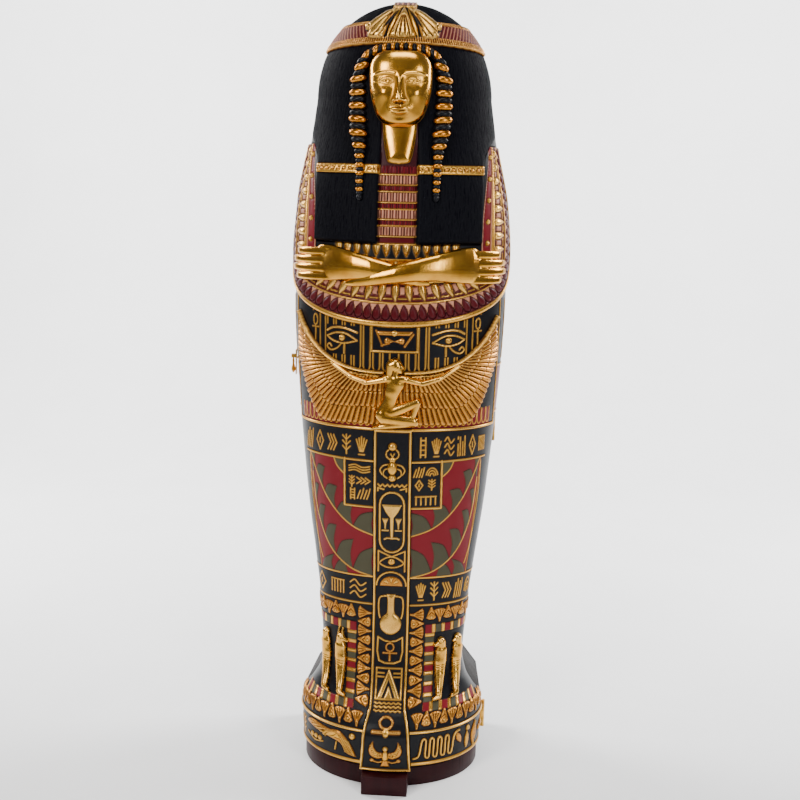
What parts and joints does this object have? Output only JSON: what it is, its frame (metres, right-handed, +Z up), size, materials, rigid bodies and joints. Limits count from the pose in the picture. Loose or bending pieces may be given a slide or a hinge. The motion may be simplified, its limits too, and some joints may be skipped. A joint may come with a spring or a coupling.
{
  "type": "anthropoid coffin cabinet",
  "caption": "Standing mummy-shaped coffin cabinet: a carved, gilded and painted front door with crossed arms, hinged on a hollow wooden case over a dark plinth.",
  "frame": {"origin": "on the plinth's underside, below the middle of the seam between door and case", "axes": "+Z up; the carved front looks along -Y; the door is hung on the +X side"},
  "size_m": [0.529, 0.432, 1.884],
  "materials": {
    "door_paint": "cast resin, gilded and painted black, deep red and olive, worn gloss",
    "case_paint": "dark black-purple paint, satin",
    "plinth_paint": "dark maroon paint, satin",
    "brass": "polished, slightly tarnished"
  },
  "bodies": {
    "case": {"plinth": "plinth_paint", "case_riser": "plinth_paint", "case_sides": "case_paint", "case_back": "case_paint", "hinge_1_case_leaf": "brass", "hinge_1_pin": "brass", "hinge_2_case_leaf": "brass", "hinge_2_pin": "brass", "hinge_3_case_leaf": "brass", "hinge_3_pin": "brass"},
    "door": {"door": "door_paint", "hinge_1_door_leaf": "brass", "hinge_2_door_leaf": "brass", "hinge_3_door_leaf": "brass", "pull_plate": "brass"},
    "drop": {"pull_drop": "brass"}
  },
  "joints": [
    {"name": "door_hinge", "type": "hinge", "parent": "case", "child": "door", "pos_m": [0.2375, 0.0053, 0], "axis": [0, 0, 1], "range_deg": [0, 100]},
    {"name": "pull_swing", "type": "hinge", "parent": "door", "child": "drop", "pos_m": [-0.26047, -0.022, 1.04533], "axis": [0, 1, 0], "range_deg": [0, 90]}
  ]
}
